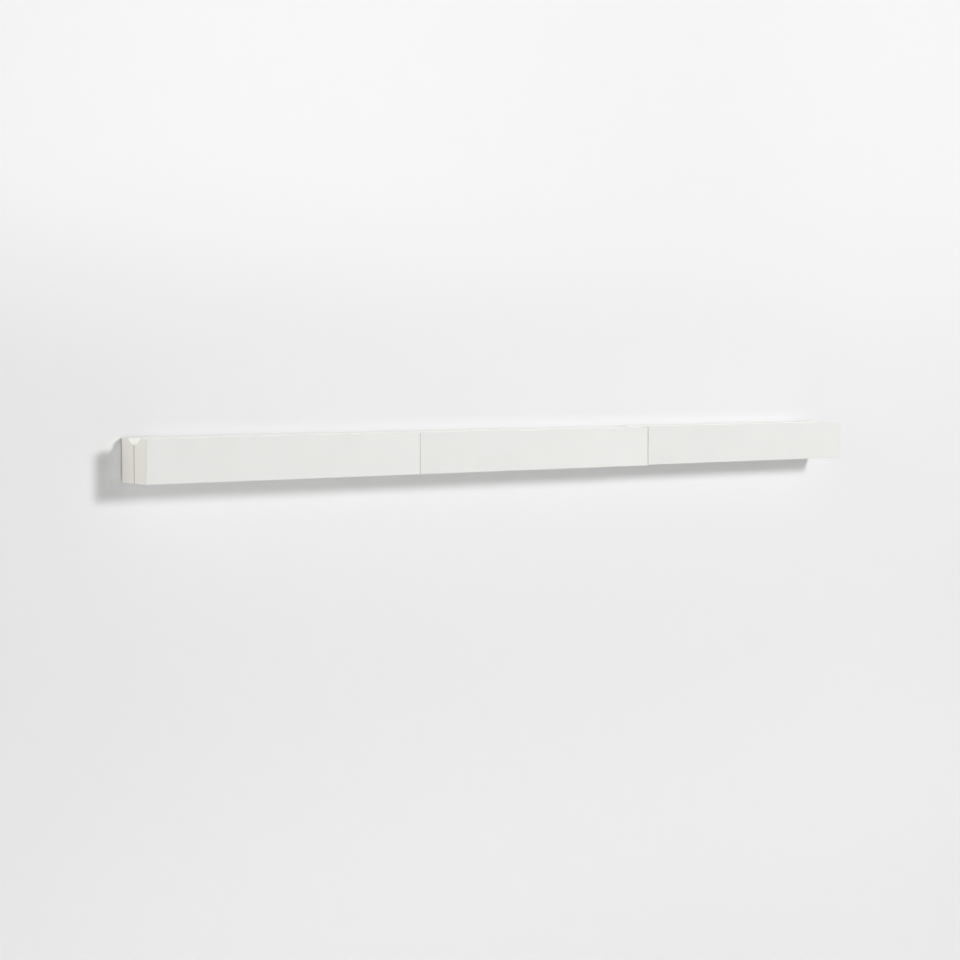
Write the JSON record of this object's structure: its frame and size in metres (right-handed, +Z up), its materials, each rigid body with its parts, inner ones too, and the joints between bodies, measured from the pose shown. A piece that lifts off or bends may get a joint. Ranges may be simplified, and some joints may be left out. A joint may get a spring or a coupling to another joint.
{
  "type": "picture ledge shelf",
  "caption": "Long white wall-hung picture ledge of butted lengths, each two rails with a round groove along their top seam, lifting off hidden aluminium cleats.",
  "frame": {"origin": "on the wall plane, at the middle of the hole row in the middle wall cleat", "axes": "+X along the ledge to the right as seen from the room, +Y into the wall, +Z up"},
  "size_m": [1.8312, 0.102, 0.0852],
  "materials": {
    "rear_rail": "MDF moulding in satin white lacquer",
    "front_rail": "MDF moulding in satin white lacquer",
    "dowels": "fluted beech, unfinished",
    "connector_screws": "zinc-plated steel",
    "cleats": "extruded, mill finish",
    "cleat_screws": "zinc-plated steel",
    "wall_pads": "matt moulded rubber"
  },
  "bodies": {
    "wall_cleats": {"left_wall_cleat": "cleats", "middle_wall_cleat": "cleats", "right_wall_cleat": "cleats"},
    "left_length": {"left_rear_rail": "rear_rail", "left_front_rail": "front_rail", "left_dowels": "dowels", "left_connector_screws": "connector_screws", "left_shelf_cleat": "cleats", "left_cleat_screws": "cleat_screws", "left_wall_pads": "wall_pads"},
    "middle_length": {"middle_rear_rail": "rear_rail", "middle_front_rail": "front_rail", "middle_dowels": "dowels", "middle_connector_screws": "connector_screws", "middle_shelf_cleat": "cleats", "middle_cleat_screws": "cleat_screws", "middle_wall_pads": "wall_pads"},
    "right_length": {"right_rear_rail": "rear_rail", "right_front_rail": "front_rail", "right_dowels": "dowels", "right_connector_screws": "connector_screws", "right_shelf_cleat": "cleats", "right_cleat_screws": "cleat_screws", "right_wall_pads": "wall_pads"}
  },
  "joints": [
    {"name": "lift_left", "type": "slide", "parent": "wall_cleats", "child": "left_length", "axis": [0, 0, 1], "range_m": [0, 0.01]},
    {"name": "lift_middle", "type": "slide", "parent": "wall_cleats", "child": "middle_length", "axis": [0, 0, 1], "range_m": [0, 0.01]},
    {"name": "lift_right", "type": "slide", "parent": "wall_cleats", "child": "right_length", "axis": [0, 0, 1], "range_m": [0, 0.01]}
  ]
}
